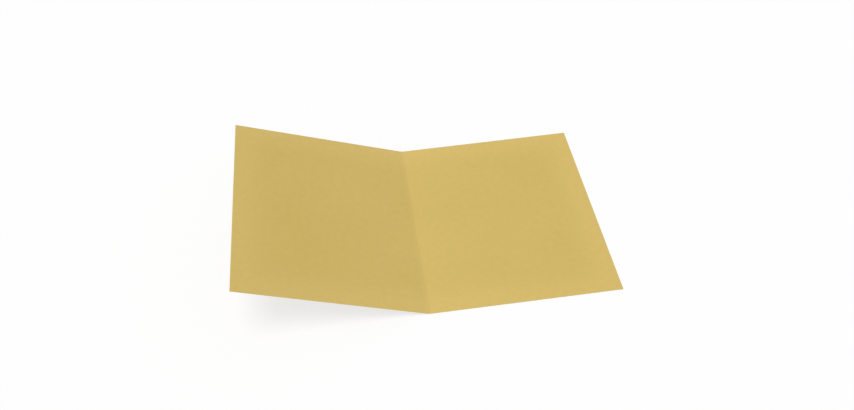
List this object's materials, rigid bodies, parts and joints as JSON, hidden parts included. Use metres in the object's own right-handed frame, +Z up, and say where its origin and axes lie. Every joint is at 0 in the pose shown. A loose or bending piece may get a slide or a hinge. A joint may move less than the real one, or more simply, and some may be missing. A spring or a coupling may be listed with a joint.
{
  "type": "manila folder",
  "caption": "Manila card folder: front and back covers joined along a scored crease, with a ruled border and title lines printed on the front, for keeping loose sheets together.",
  "frame": {"origin": "middle of the back cover's underside, on the surface that the folder lies on", "axes": "+X from the fold to the back cover's fore edge, +Y up the folder along the fold, +Z up; the front cover swings about the fold at X = -125 mm"},
  "size_m": [0.4855, 0.33, 0.0848],
  "materials": {
    "manila_card": "matte",
    "printing_ink": "matte"
  },
  "bodies": {
    "back": {"back_cover": "manila_card", "spine_crease": "manila_card"},
    "front": {"front_cover": "manila_card", "border_line_outer": "printing_ink", "border_line_inner": "printing_ink", "title_rule_upper": "printing_ink", "title_rule_middle": "printing_ink", "title_rule_lower": "printing_ink", "short_rule": "printing_ink"}
  },
  "joints": [
    {"name": "cover_fold", "type": "hinge", "parent": "back", "child": "front", "pos_m": [-0.125, 0, 0.00058], "axis": [0, 1, 0], "range_deg": [-19.75, 160.25], "deforming": ["spine_crease"]}
  ]
}
